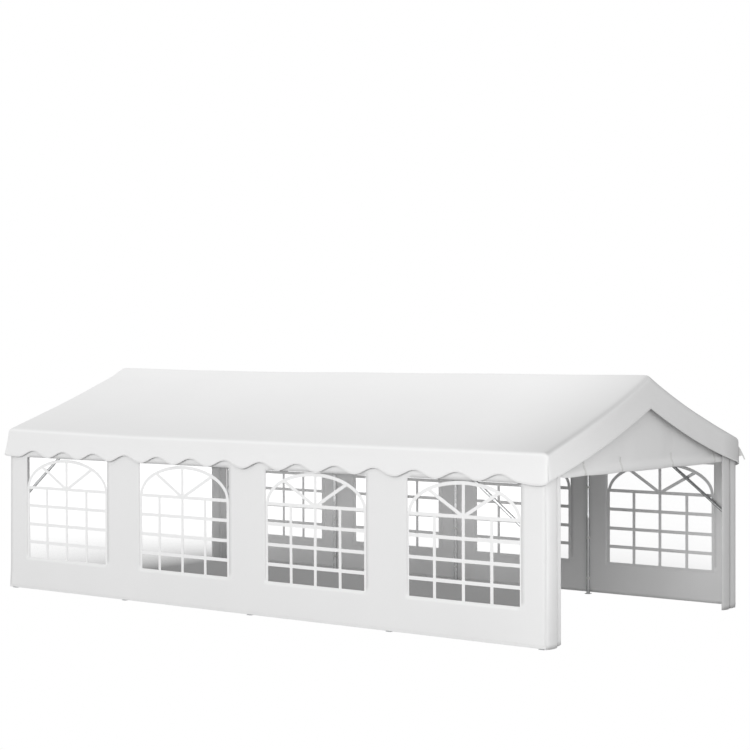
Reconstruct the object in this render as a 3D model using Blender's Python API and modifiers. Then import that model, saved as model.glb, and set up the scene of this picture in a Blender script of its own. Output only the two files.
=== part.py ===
"""White party marquee on a steel tube frame: four bays, open gables, windowed side walls.

Metres, +Z up. +X runs along the ridge to the front gable, -Y is the left side.
The origin is the middle of the floor, at ground level.
"""

import math

import bmesh
import bpy
from mathutils import Matrix, Vector

# Driving dimensions
BAY = 2.0
BAYS = 4
RIDGE_Z = 2.6642  # axis of the ridge purlin
EAVE_Z = 1.933  # axis of the eave purlins
LEG_Y = 1.922  # axis of the legs and eave purlins
ROOF_SAG = 0.05  # how far the roof dips below a straight slope at its middle
END_INSET = 0.04  # the gable frames stand this far inside the end of the cover's walls
GAP = 0.0003  # left between pieces that touch

TUBE_R = 0.019
SLEEVE_R = 0.0225
SLEEVE_LENGTH = 0.10
BRACE_R = 0.0125
TUBE_SIDES = 16
FOOT_SIDE = 0.09
FOOT_THICK = 0.004

CLOTH = 0.003
FILM = 0.002
COVER_HALF = 4.02  # half the length of the roof cover
LIP_Z = 1.90  # the roof cover turns down to here at the eaves
FOLD_R = 0.022  # inner radius of the fold over the eave

WALL_HALF = 3.98
WALL_BOTTOM = 0.035
WALL_TOP = 1.930
WINDOW_HALF = 0.70
WINDOW_SILL = 0.400
WINDOW_TOP = 1.630

VALANCE_TOP = 1.9345
VALANCE_HEM = 1.682  # middle height of the scalloped hem
SCALLOP_RISE = 0.040
SCALLOP_PITCH = 0.538
SCALLOPS = 14
FIRST_CREST = -3.576
VALANCE_FLARE = 0.022
STEPS_A_SCALLOP = 6

FLAP_PEAK_HEM = 2.337
FLAP_CORNER_HEM = 1.670
FLAP_SAG = 0.05

ROLL_Z = 1.715
ROLL_R = 0.028
ROLL_TAPER = 0.12  # the roll thins to a point over this length
ROLL_TIP = 0.3
ROLL_HALF = 1.62
HEADER_HALF = 1.9415

CURTAIN_INNER = 1.635
CURTAIN_PINCH = 1.803
CURTAIN_OUTER = 1.945
CURTAIN_DEPTH = 0.0345
CURTAIN_CREASE = 0.009  # how thick the curtain is in the crease between its folds
CURTAIN_BOTTOM = 0.012
CURTAIN_TOP = 1.900
CURTAIN_STEPS = 9

BRACE_LEG_Z = 0.98
BRACE_REACH_X = 2.735

LENGTH = BAY * BAYS
END_FRAME_X = LENGTH / 2 - END_INSET
HEADER_X = WALL_HALF + GAP  # inner face of the gable header
COVER_OFFSET = SLEEVE_R + GAP  # the cover's underside above the tubes' axes
WALL_Y = LEG_Y + SLEEVE_R + GAP  # inner face of the side walls
LIP_Y = WALL_Y + CLOTH + GAP  # inner face of the cover at the eaves
VALANCE_Y = LIP_Y + CLOTH + GAP  # inner face of the valance at its top
SLOPE_STEPS = 8
HEM_STEPS = 12
CUT_PAST = 0.02  # a cutter runs this far past the faces it cuts
SIDES = {"left": -1, "right": 1}
ENDS = {"front": 1, "rear": -1}

COLOURS = {
    "galvanised_tube": ((0.62, 0.63, 0.64), 0.32, 1.0),
    "roof_cloth": ((0.86, 0.86, 0.86), 0.62, 0.0),
    "wall_cloth": ((0.88, 0.88, 0.88), 0.60, 0.0),
    "flap_cloth": ((0.80, 0.80, 0.80), 0.60, 0.0),
    "window_film": ((0.93, 0.95, 0.96), 0.08, 0.0),
}


def clear_scene():
    for thing in list(bpy.data.objects):
        bpy.data.objects.remove(thing)
    for old in list(bpy.data.collections):
        bpy.data.collections.remove(old)


def make_collection(name):
    group = bpy.data.collections.new(name)
    bpy.context.scene.collection.children.link(group)
    return group


def make_material(name):
    colour, roughness, metallic = COLOURS[name]
    material = bpy.data.materials.new(name)
    material.use_nodes = True
    shader = material.node_tree.nodes["Principled BSDF"]
    shader.inputs["Base Color"].default_value = (*colour, 1.0)
    shader.inputs["Roughness"].default_value = roughness
    shader.inputs["Metallic"].default_value = metallic
    if name == "window_film":
        shader.inputs["Alpha"].default_value = 0.3
    return material


def add_part(name, data, material):
    part = bpy.data.objects.new(name, data)
    data.materials.append(bpy.data.materials[material])
    marquee.objects.link(part)
    return part


def add_cutter(name, mesh):
    cutter = bpy.data.objects.new(name, mesh)
    cutters.objects.link(cutter)
    cutter.hide_render = True
    cutter.display_type = "WIRE"
    return cutter


def mesh_from(name, shape):
    mesh = bpy.data.meshes.new(name)
    shape.to_mesh(mesh)
    shape.free()
    return mesh


def tube_mesh(name, radius, start, end):
    """A closed round bar between two points."""
    start, end = Vector(start), Vector(end)
    along = end - start
    turn = along.to_track_quat("Z", "Y").to_matrix().to_4x4()
    shape = bmesh.new()
    bmesh.ops.create_cone(
        shape, cap_ends=True, segments=TUBE_SIDES, radius1=radius, radius2=radius, depth=along.length
    )
    shape.transform(Matrix.Translation((start + end) / 2) @ turn)
    return mesh_from(name, shape)


def box_mesh(name, low, high):
    low, high = Vector(low), Vector(high)
    shape = bmesh.new()
    bmesh.ops.create_cube(shape, size=1.0)
    shape.transform(Matrix.Translation((low + high) / 2) @ Matrix.Diagonal((*(high - low), 1.0)))
    return mesh_from(name, shape)


def smooth(part):
    part.data.shade_smooth()
    part.data.set_sharp_from_angle(angle=math.radians(35))


def join_and_cut(part, steps):
    """Runs Boolean unions and cuts on a part, then keeps the result as its mesh."""
    for operation, mesh in steps:
        change = part.modifiers.new(operation.lower(), "BOOLEAN")
        change.operation = operation
        change.solver = "EXACT"
        change.object = add_cutter(f"cut_{mesh.name}", mesh)
    bpy.context.view_layer.update()
    done = bpy.data.meshes.new_from_object(part.evaluated_get(bpy.context.evaluated_depsgraph_get()))
    part.modifiers.clear()
    part.data = done


def frame_stations():
    """Where the five frames stand along X, front first."""
    inner = [BAY * (BAYS / 2 - k) for k in range(1, BAYS)]
    return [END_FRAME_X, *inner, -END_FRAME_X]


def sleeve_centre(x):
    """The gable frames' sleeves sit wholly inside the end of the tube."""
    limit = END_FRAME_X + TUBE_R - SLEEVE_LENGTH / 2
    return max(-limit, min(limit, x))


def sleeve_along(name, x, y, z, radius, extra=0.0):
    half = SLEEVE_LENGTH / 2 + extra
    return tube_mesh(name, radius, (sleeve_centre(x) - half, y, z), (sleeve_centre(x) + half, y, z))


def frame_line(y):
    """Height of the frame's centre line over the floor at a distance y from the middle."""
    t = y / LEG_Y
    return EAVE_Z + (RIDGE_Z - EAVE_Z) * (1 - t) - 4 * ROOF_SAG * t * (1 - t)


def frame_slope(y):
    step = 0.001
    return math.atan2(frame_line(y + step) - frame_line(y - step), 2 * step)


def hem_line(y):
    """Height of the gable flap's hem."""
    t = min(abs(y) / LEG_Y, 1.02)
    return FLAP_CORNER_HEM + (FLAP_PEAK_HEM - FLAP_CORNER_HEM) * (1 - t) - 4 * FLAP_SAG * t * (1 - t)


def arc(centre, radius, start, end, steps):
    angles = [start + (end - start) * k / steps for k in range(steps + 1)]
    return [(centre[0] + radius * math.cos(a), centre[1] + radius * math.sin(a)) for a in angles]


def roof_section(lift):
    """Half the roof's section, from the ridge to the eave, lifted off the cover's underside."""
    offset = COVER_OFFSET + lift
    ridge_slope = frame_slope(0.001)
    points = arc((0.0, RIDGE_Z), offset, math.pi / 2, math.pi / 2 + ridge_slope, 3)
    for k in range(1, SLOPE_STEPS):
        y = LEG_Y * k / SLOPE_STEPS
        normal = frame_slope(y) + math.pi / 2
        points.append((y + offset * math.cos(normal), frame_line(y) + offset * math.sin(normal)))
    eave_slope = frame_slope(LEG_Y)
    centre_y = LIP_Y - FOLD_R
    centre_z = frame_line(centre_y) + (COVER_OFFSET - FOLD_R) / math.cos(eave_slope)
    points += arc((centre_y, centre_z), FOLD_R + lift, math.pi / 2 + eave_slope, 0.0, 5)
    return points


def build_leg(name, x, side):
    y = side * LEG_Y
    leg = add_part(name, tube_mesh(name, TUBE_R, (x, y, FOOT_THICK / 2), (x, y, EAVE_Z)), "galvanised_tube")
    half = FOOT_SIDE / 2
    foot = box_mesh(f"foot_{name}", (x - half, y - half, 0.0), (x + half, y + half, FOOT_THICK))
    sleeve = sleeve_along(f"sleeve_{name}", x, y, EAVE_Z, SLEEVE_R)
    bore = sleeve_along(f"bore_{name}", x, y, EAVE_Z, TUBE_R + GAP, CUT_PAST)
    join_and_cut(leg, [("UNION", foot), ("UNION", sleeve), ("DIFFERENCE", bore)])
    smooth(leg)


def rafter_mesh(name, x, side):
    """One bent rafter from the ridge's axis to just short of the leg's sleeve."""
    path = bpy.data.curves.new(name, "CURVE")
    path.dimensions = "3D"
    path.bevel_depth = TUBE_R
    path.bevel_resolution = 4
    path.use_fill_caps = True
    spline = path.splines.new("POLY")
    stations = [LEG_Y * k / SLOPE_STEPS for k in range(SLOPE_STEPS)]
    stations.append(LEG_Y - (SLEEVE_R + GAP) * math.cos(frame_slope(LEG_Y)))
    spline.points.add(len(stations) - 1)
    for point, y in zip(spline.points, stations):
        point.co = (x, side * y, frame_line(y), 1.0)
    bar = bpy.data.objects.new(name, path)
    cutters.objects.link(bar)
    bpy.context.view_layer.update()
    mesh = bpy.data.meshes.new_from_object(bar.evaluated_get(bpy.context.evaluated_depsgraph_get()))
    bpy.data.objects.remove(bar)
    shape = bmesh.new()
    shape.from_mesh(mesh)
    bmesh.ops.remove_doubles(shape, verts=shape.verts, dist=0.0001)
    bmesh.ops.recalc_face_normals(shape, faces=shape.faces)
    shape.to_mesh(mesh)
    shape.free()
    return mesh


def build_rafters(name, x):
    pair = add_part(name, rafter_mesh(f"{name}_left", x, -1), "galvanised_tube")
    other = rafter_mesh(f"{name}_right", x, 1)
    sleeve = sleeve_along(f"sleeve_{name}", x, 0.0, RIDGE_Z, SLEEVE_R)
    bore = sleeve_along(f"bore_{name}", x, 0.0, RIDGE_Z, TUBE_R + GAP, CUT_PAST)
    join_and_cut(pair, [("UNION", sleeve), ("UNION", other), ("DIFFERENCE", bore)])
    smooth(pair)


def build_purlin(name, y, z):
    half = END_FRAME_X + TUBE_R
    smooth(add_part(name, tube_mesh(name, TUBE_R, (-half, y, z), (half, y, z)), "galvanised_tube"))


def build_brace(name, side, end):
    """A diagonal from the corner leg up to the eave purlin, stopping at both surfaces."""
    y = side * LEG_Y
    foot = Vector((end * END_FRAME_X, y, BRACE_LEG_Z))
    head = Vector((end * BRACE_REACH_X, y, EAVE_Z))
    along = (head - foot).normalized()
    level, upright = abs(along.x), abs(along.z)
    start = foot + along * (TUBE_R + GAP + BRACE_R * upright) / level
    stop = head - along * (TUBE_R + GAP + BRACE_R * level) / upright
    smooth(add_part(name, tube_mesh(name, BRACE_R, start, stop), "galvanised_tube"))


def build_frame():
    for number, x in enumerate(frame_stations(), 1):
        for side_name, side in SIDES.items():
            build_leg(f"leg_{side_name}_{number}", x, side)
        build_rafters(f"rafters_{number}", x)
    build_purlin("ridge_purlin", 0.0, RIDGE_Z)
    for side_name, side in SIDES.items():
        build_purlin(f"eave_purlin_{side_name}", side * LEG_Y, EAVE_Z)
        for end_name, end in ENDS.items():
            build_brace(f"brace_{side_name}_{end_name}", side, end)


def build_roof_cover():
    """The roof sheet: its half section drawn out along the ridge, mirrored and given its thickness."""
    points = roof_section(0.0) + [(LIP_Y, LIP_Z)]
    shape = bmesh.new()
    verts = [shape.verts.new((-COVER_HALF, y, z)) for y, z in points]
    edges = [shape.edges.new(pair) for pair in zip(verts, verts[1:])]
    drawn = bmesh.ops.extrude_edge_only(shape, edges=edges)["geom"]
    moved = [item for item in drawn if isinstance(item, bmesh.types.BMVert)]
    bmesh.ops.translate(shape, verts=moved, vec=(2 * COVER_HALF, 0.0, 0.0))
    for face in shape.faces:
        face.normal_update()
        if face.normal.z < -0.001 or (abs(face.normal.z) <= 0.001 and face.normal.y < 0):
            face.normal_flip()
    cover = add_part("roof_cover", mesh_from("roof_cover", shape), "roof_cloth")
    mirror = cover.modifiers.new("other_slope", "MIRROR")
    mirror.use_axis = (False, True, False)
    mirror.merge_threshold = 0.0001
    add_thickness(cover, CLOTH)
    cover.data.shade_smooth()


def add_thickness(part, thickness):
    shell = part.modifiers.new("cloth", "SOLIDIFY")
    shell.thickness = thickness
    shell.offset = 1.0
    shell.use_even_offset = True


def scallop_height(x):
    """The valance's hem rises in an even row of crests and runs level at both ends."""
    last = FIRST_CREST + SCALLOP_PITCH * (SCALLOPS - 1)
    x = max(FIRST_CREST - SCALLOP_PITCH / 2, min(last + SCALLOP_PITCH / 2, x))
    return VALANCE_HEM + SCALLOP_RISE * math.cos(math.tau * (x - FIRST_CREST) / SCALLOP_PITCH)


def build_valance(name, side):
    start = FIRST_CREST - SCALLOP_PITCH / 2
    step = SCALLOP_PITCH / STEPS_A_SCALLOP
    scalloped = [start + step * k for k in range(SCALLOPS * STEPS_A_SCALLOP + 1)]
    columns = [-COVER_HALF, *scalloped, COVER_HALF]
    shape = bmesh.new()
    tops = [shape.verts.new((x, side * VALANCE_Y, VALANCE_TOP)) for x in columns]
    edges = [shape.edges.new(pair) for pair in zip(tops, tops[1:])]
    drawn = bmesh.ops.extrude_edge_only(shape, edges=edges)["geom"]
    for item in drawn:
        if isinstance(item, bmesh.types.BMVert):
            item.co.y = side * (VALANCE_Y + VALANCE_FLARE)
            item.co.z = scallop_height(item.co.x)
    for face in shape.faces:
        face.normal_update()
        if face.normal.y * side < 0:
            face.normal_flip()
    add_thickness(add_part(name, mesh_from(name, shape), "roof_cloth"), CLOTH)


def add_outline(name, points, thickness, material):
    """A flat closed outline, filled on both faces, lying in its own XY plane."""
    flat = bpy.data.curves.new(name, "CURVE")
    flat.dimensions = "2D"
    flat.fill_mode = "BOTH"
    flat.extrude = thickness / 2
    spline = flat.splines.new("POLY")
    spline.points.add(len(points) - 1)
    for point, (a, b) in zip(spline.points, points):
        point.co = (a, b, 0.0, 1.0)
    spline.use_cyclic_u = True
    return add_part(name, flat, material)


def stand_across(part, x):
    """Turns an outline upright so that it faces along the ridge."""
    part.rotation_euler = (math.pi / 2, 0.0, math.pi / 2)
    part.location = (x, 0.0, 0.0)


def both_halves(half):
    """A half outline from the middle outwards, completed with its mirror image."""
    return [(-y, z) for y, z in reversed(half)] + [(y, z) for y, z in half if y > 0.0]


def build_gable_flap(name, end):
    top = [*roof_section(CLOTH), (VALANCE_Y + CLOTH, VALANCE_TOP)]
    corner = VALANCE_Y + VALANCE_FLARE + CLOTH
    hem = [(corner * k / HEM_STEPS, hem_line(corner * k / HEM_STEPS)) for k in range(HEM_STEPS + 1)]
    points = both_halves(top) + list(reversed(both_halves(hem)))
    flap = add_outline(name, points, CLOTH, "flap_cloth")
    stand_across(flap, end * (COVER_HALF + GAP + CLOTH / 2))


def build_gable_header(name, end):
    roof = [(y, z) for y, z in roof_section(-GAP) if y < LEG_Y]
    low = ROLL_Z + ROLL_R + GAP
    points = both_halves([*roof, (HEADER_HALF, EAVE_Z), (HEADER_HALF, low)])
    header = add_outline(name, points, CLOTH, "flap_cloth")
    stand_across(header, end * (HEADER_X + CLOTH / 2))


def build_door_roll(name, end):
    """The cloth rolled up under the header, thinning to a point at each end."""
    path = bpy.data.curves.new(name, "CURVE")
    path.dimensions = "3D"
    path.bevel_depth = ROLL_R
    path.bevel_resolution = 4
    path.use_fill_caps = True
    spline = path.splines.new("POLY")
    full = ROLL_HALF - ROLL_TAPER
    stations = [(-ROLL_HALF, ROLL_TIP), (-full, 1.0), (full, 1.0), (ROLL_HALF, ROLL_TIP)]
    spline.points.add(len(stations) - 1)
    for point, (y, width) in zip(spline.points, stations):
        point.co = (end * (HEADER_X + CLOTH / 2), y, ROLL_Z, 1.0)
        point.radius = width
    add_part(name, path, "flap_cloth")


def fold_front(start, stop):
    """The rounded front of one hanging fold, seen from above."""
    points = []
    for k in range(CURTAIN_STEPS + 1):
        t = k / CURTAIN_STEPS
        bulge = math.sqrt(math.sin(math.pi * t))
        points.append((start + (stop - start) * t, CURTAIN_CREASE + (CURTAIN_DEPTH - CURTAIN_CREASE) * bulge))
    return points


def build_door_curtain(name, end, side):
    front = fold_front(CURTAIN_INNER, CURTAIN_PINCH)
    front += fold_front(CURTAIN_PINCH, CURTAIN_OUTER)[1:]
    back = HEADER_X + CLOTH + GAP
    plan = [(end * (back + depth), side * y) for y, depth in front]
    plan += [(end * back, side * CURTAIN_OUTER), (end * back, side * CURTAIN_INNER)]
    curtain = add_outline(name, plan, CURTAIN_TOP - CURTAIN_BOTTOM, "wall_cloth")
    curtain.location = (0.0, 0.0, (CURTAIN_TOP + CURTAIN_BOTTOM) / 2)


def build_gables():
    for end_name, end in ENDS.items():
        build_gable_flap(f"gable_flap_{end_name}", end)
        build_gable_header(f"gable_header_{end_name}", end)
        build_door_roll(f"door_roll_{end_name}", end)
        for side_name, side in SIDES.items():
            build_door_curtain(f"door_curtain_{end_name}_{side_name}", end, side)


def window_centres():
    return [BAY * (BAYS / 2 - k - 0.5) for k in range(BAYS)]


def build_side_wall(name, side):
    inner, outer = sorted((side * WALL_Y, side * (WALL_Y + CLOTH)))
    sheet = box_mesh(name, (-WALL_HALF, inner, WALL_BOTTOM), (WALL_HALF, outer, WALL_TOP))
    wall = add_part(name, sheet, "wall_cloth")
    holes = []
    for number, x in enumerate(window_centres(), 1):
        low = (x - WINDOW_HALF, inner - CUT_PAST, WINDOW_SILL)
        high = (x + WINDOW_HALF, outer + CUT_PAST, WINDOW_TOP)
        holes.append(("DIFFERENCE", box_mesh(f"opening_{name}_{number}", low, high)))
    join_and_cut(wall, holes)


def build_window(name, x, side):
    """The clear film that closes one opening, flush inside the wall's cloth."""
    middle = WALL_Y + CLOTH / 2
    inner, outer = sorted((side * (middle - FILM / 2), side * (middle + FILM / 2)))
    half = WINDOW_HALF - GAP
    low = (x - half, inner, WINDOW_SILL + GAP)
    high = (x + half, outer, WINDOW_TOP - GAP)
    add_part(name, box_mesh(name, low, high), "window_film")


def build_walls():
    for side_name, side in SIDES.items():
        build_side_wall(f"side_wall_{side_name}", side)
        build_valance(f"valance_{side_name}", side)
        for number, x in enumerate(window_centres(), 1):
            build_window(f"window_{side_name}_{number}", x, side)


clear_scene()
marquee = make_collection("marquee_tent")
cutters = make_collection("cutters")
for colour_name in COLOURS:
    make_material(colour_name)
build_frame()
build_roof_cover()
build_gables()
build_walls()
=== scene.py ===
import math

import bmesh
import bpy
from mathutils import Matrix, Vector, noise


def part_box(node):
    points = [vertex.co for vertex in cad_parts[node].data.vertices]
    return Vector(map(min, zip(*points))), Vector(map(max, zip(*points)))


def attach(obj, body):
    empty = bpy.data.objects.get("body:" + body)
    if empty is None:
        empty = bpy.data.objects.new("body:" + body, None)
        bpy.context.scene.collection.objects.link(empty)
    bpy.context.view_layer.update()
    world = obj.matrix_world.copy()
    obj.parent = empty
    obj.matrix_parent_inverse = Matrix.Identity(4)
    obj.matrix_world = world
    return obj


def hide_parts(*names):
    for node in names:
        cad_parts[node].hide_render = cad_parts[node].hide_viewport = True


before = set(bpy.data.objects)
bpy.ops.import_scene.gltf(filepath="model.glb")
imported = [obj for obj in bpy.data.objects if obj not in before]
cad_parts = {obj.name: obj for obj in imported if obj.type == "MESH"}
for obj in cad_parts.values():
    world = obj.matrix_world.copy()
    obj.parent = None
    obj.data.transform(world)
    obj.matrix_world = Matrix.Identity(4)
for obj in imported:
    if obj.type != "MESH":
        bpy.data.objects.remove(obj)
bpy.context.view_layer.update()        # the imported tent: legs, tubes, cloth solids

print("frame loaded:", len(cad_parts), "nodes")


def addObject(name, data):
    made = bpy.data.objects.new(name, data)
    bpy.context.scene.collection.objects.link(made)
    return made


# Camera, at the photograph's place, as yaw, pitch and roll from the fit to the tent's corners
viewpoint = {
    "place": (14.5801, -17.6054, 3.0313),
    "yaw": -0.6827,
    "pitch": 0.0163,
    "roll": -0.003,
    "lens": 91.69,
    "sensor": 36.0,
}


def makeCamera(v):
    flat = math.cos(v["pitch"])
    ahead = Vector((math.sin(v["yaw"]) * flat, math.cos(v["yaw"]) * flat, -math.sin(v["pitch"])))
    level = Vector((math.cos(v["yaw"]), -math.sin(v["yaw"]), 0.0))
    above = level.cross(ahead)
    right = math.cos(v["roll"]) * level + math.sin(v["roll"]) * above
    up = math.cos(v["roll"]) * above - math.sin(v["roll"]) * level
    data = bpy.data.cameras.new("camera")
    data.lens = v["lens"]
    data.sensor_width = v["sensor"]
    data.clip_end = 200.0
    camera = addObject("camera", data)
    camera.matrix_world = Matrix((*zip(right, up, -ahead, v["place"]), (0.0, 0.0, 0.0, 1.0)))
    bpy.context.scene.camera = camera


makeCamera(viewpoint)
bpy.context.scene.view_settings.view_transform = "Standard"


# Node tools: an underscore stands for a space in an input's name, and a socket given as its value is linked
def setInputs(tree, node, **values):
    for key, value in values.items():
        socket = next(s for s in node.inputs if s.name == key.replace("_", " "))
        feed(tree, socket, value)


def feed(tree, socket, value):
    if isinstance(value, bpy.types.NodeSocket):
        tree.links.new(value, socket)
    else:
        socket.default_value = value


def addNode(tree, kind, **settings):
    node = tree.nodes.new(kind)
    for key, value in settings.items():
        if key in node.bl_rna.properties.keys():
            setattr(node, key, value)
        else:
            setInputs(tree, node, **{key: value})
    return node


def newGroup(name, inputs, outputs):
    tree = bpy.data.node_groups.new(name, "ShaderNodeTree")
    for label, kind, value in inputs:
        made = tree.interface.new_socket(name=label, in_out="INPUT", socket_type=kind)
        if value is not None:
            made.default_value = value
    for label in outputs:
        tree.interface.new_socket(name=label, in_out="OUTPUT", socket_type="NodeSocketFloat")
    return tree, tree.nodes.new("NodeGroupInput").outputs, tree.nodes.new("NodeGroupOutput")


def mathNode(tree, operation, a, b=0.0, clamp=False):
    node = addNode(tree, "ShaderNodeMath", operation=operation, use_clamp=clamp)
    feed(tree, node.inputs[0], a)
    feed(tree, node.inputs[1], b)
    return node.outputs[0]


def splitVector(tree, vector):
    return addNode(tree, "ShaderNodeSeparateXYZ", Vector=vector).outputs


def mixColour(tree, share, first, second, blend="MIX"):
    node = addNode(tree, "ShaderNodeMix", data_type="RGBA", blend_type=blend)
    for index, value in ((0, share), (6, first), (7, second)):
        feed(tree, node.inputs[index], value)
    return node.outputs[2]


def mixShaders(tree, share, first, second):
    node = addNode(tree, "ShaderNodeMixShader", Fac=share)
    tree.links.new(first.outputs[0], node.inputs[1])
    tree.links.new(second.outputs[0], node.inputs[2])
    return node.outputs[0]


def spreadNode(tree, value, start, stop, amount, base=0.0):
    # base where the value is at start, amount where it is at stop
    node = addNode(tree, "ShaderNodeMapRange", Value=value, From_Min=start, From_Max=stop, To_Min=base,
                   To_Max=amount)
    return node.outputs["Result"]


def bumpNode(tree, height, strength, distance, **under):
    node = addNode(tree, "ShaderNodeBump", Strength=strength, Distance=distance, Height=height, **under)
    return node.outputs["Normal"]


def makeWeaveGroup():
    # a fine plain weave, pressed flat under its coating, in metres of cloth
    tree, given, out = newGroup("coatedWeave", [
        ("Cloth", "NodeSocketVector", None),
        ("Threads a metre", "NodeSocketFloat", 260.0),
    ], ["Height"])
    rows = []
    for place in splitVector(tree, given["Cloth"])[:2]:
        turn = mathNode(tree, "MULTIPLY", place, given["Threads a metre"])
        wave = mathNode(tree, "SINE", mathNode(tree, "MULTIPLY", turn, math.pi))
        rows.append(mathNode(tree, "ABSOLUTE", wave))
    setInputs(tree, out, Height=mathNode(tree, "MAXIMUM", *rows))
    return tree


def makeCreaseGroup():
    # soft creases left from folding, in two sizes, and a slight unevenness of tone
    tree, given, out = newGroup("clothCrease", [
        ("Place", "NodeSocketVector", None),
        ("Broad", "NodeSocketFloat", 1.1),
        ("Fine", "NodeSocketFloat", 7.0),
        ("Share of fine", "NodeSocketFloat", 0.35),
    ], ["Height", "Tone"])
    broad, fine, tone = (
        addNode(tree, "ShaderNodeTexNoise", Vector=given["Place"], Scale=given[size], Detail=detail,
                Roughness=roughness, Distortion=distortion).outputs["Fac"]
        for size, detail, roughness, distortion in (
            ("Broad", 3.0, 0.45, 0.6), ("Fine", 4.0, 0.5, 0.9), ("Broad", 5.0, 0.55, 0.0)))
    ridge = mathNode(tree, "ABSOLUTE", mathNode(tree, "SUBTRACT", fine, 0.5))
    fineShare = mathNode(tree, "MULTIPLY", ridge, given["Share of fine"])
    setInputs(tree, out, Height=mathNode(tree, "ADD", broad, fineShare), Tone=tone)
    return tree


weaveGroup = makeWeaveGroup()
creaseGroup = makeCreaseGroup()


def startMaterial(name):
    material = bpy.data.materials.new(name)
    material.use_nodes = True
    tree = material.node_tree
    return material, tree, tree.nodes["Principled BSDF"], tree.nodes.new("ShaderNodeTexCoord").outputs


def addPaintedShade(tree, place, paintedShade):
    # painted shade on upward faces, more of it the nearer the eaves and the front gable, and in the gable's
    # fold;
    # painted shade also greys the gable's far corner and the faces there that turn towards the far side
    x, y, z = splitVector(tree, place["Object"])
    facingX, facingY, facingZ = splitVector(tree, place["Normal"])
    low = spreadNode(tree, z, *paintedShade["eaves"])
    gable = mathNode(tree, "POWER", spreadNode(tree, x, *paintedShade["gable"], 1.0), paintedShade["gablePower"])
    onSlope = mathNode(tree, "ADD", low, mathNode(tree, "MULTIPLY", gable, paintedShade["gableSlope"]))
    onSlope = mathNode(tree, "MULTIPLY", onSlope, spreadNode(tree, facingZ, *paintedShade["upward"], 1.0))
    # painted shade over the gable's fold, where the cloth faces both up and out
    leaning = mathNode(tree, "MAXIMUM", mathNode(tree, "MULTIPLY", facingX, facingZ), 0.0)
    leaning = mathNode(tree, "MULTIPLY", leaning, 2.0 * paintedShade["gableFold"])
    slopeShade = mathNode(tree, "ADD", onSlope, mathNode(tree, "MULTIPLY", gable, leaning))
    # painted shade towards the far corner
    farSide = mathNode(tree, "MULTIPLY", y, facingX)
    turned = mathNode(tree, "MULTIPLY", facingX, mathNode(tree, "MAXIMUM", facingY, 0.0))
    turned = mathNode(tree, "MULTIPLY", mathNode(tree, "MAXIMUM", turned, 0.0), paintedShade["farFold"])
    paintedGrey = mathNode(tree, "MAXIMUM", spreadNode(tree, farSide, *paintedShade["farCorner"]), turned)
    return mathNode(tree, "SUBTRACT", 1.0, mathNode(tree, "ADD", slopeShade, paintedGrey))


def makeClothMaterial(name, look):
    material, tree, shader, place = startMaterial(name)
    colour = (look["tone"], look["tone"], look["tone"], 1.0)
    crease = addNode(tree, "ShaderNodeGroup", node_tree=creaseGroup, Place=place["Object"],
                     Broad=look["broad"], Fine=look["fine"]).outputs
    weave = addNode(tree, "ShaderNodeGroup", node_tree=weaveGroup, Cloth=place["UV"],
                    Threads_a_metre=look["threads"]).outputs
    tone = spreadNode(tree, crease["Tone"], 0.0, 1.0, 1.0, 1.0 - look["unevenness"])
    # painted shade on the cloth, where the look gives it
    if "paintedShade" in look:
        tone = mathNode(tree, "MULTIPLY", tone, addPaintedShade(tree, place, look["paintedShade"]))
    # painted shade: darker towards the far (+y) side
    if "farPaintedShade" in look:
        paintedGrey = spreadNode(tree, splitVector(tree, place["Object"])["Y"], *look["farPaintedShade"])
        tone = mathNode(tree, "MULTIPLY", tone, mathNode(tree, "SUBTRACT", 1.0, paintedGrey))
    rough = look["roughness"]
    threads = bumpNode(tree, weave["Height"], 0.35, 0.0002)
    setInputs(tree, shader,
              Base_Color=mixColour(tree, 1.0, colour, tone, "MULTIPLY"),
              Roughness=spreadNode(tree, crease["Tone"], 0.0, 1.0, rough + 0.06, rough - 0.06),
              Specular_IOR_Level=look["gloss"],
              Normal=bumpNode(tree, crease["Height"], look["creasing"], 0.02, Normal=threads))
    if "sheer" in look:
        # a little of the light behind comes through
        behind = addNode(tree, "ShaderNodeBsdfTranslucent", Color=colour)
        surface = mixShaders(tree, look["sheer"], shader, behind)
        setInputs(tree, tree.nodes["Material Output"], Surface=surface)
    return material


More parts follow.
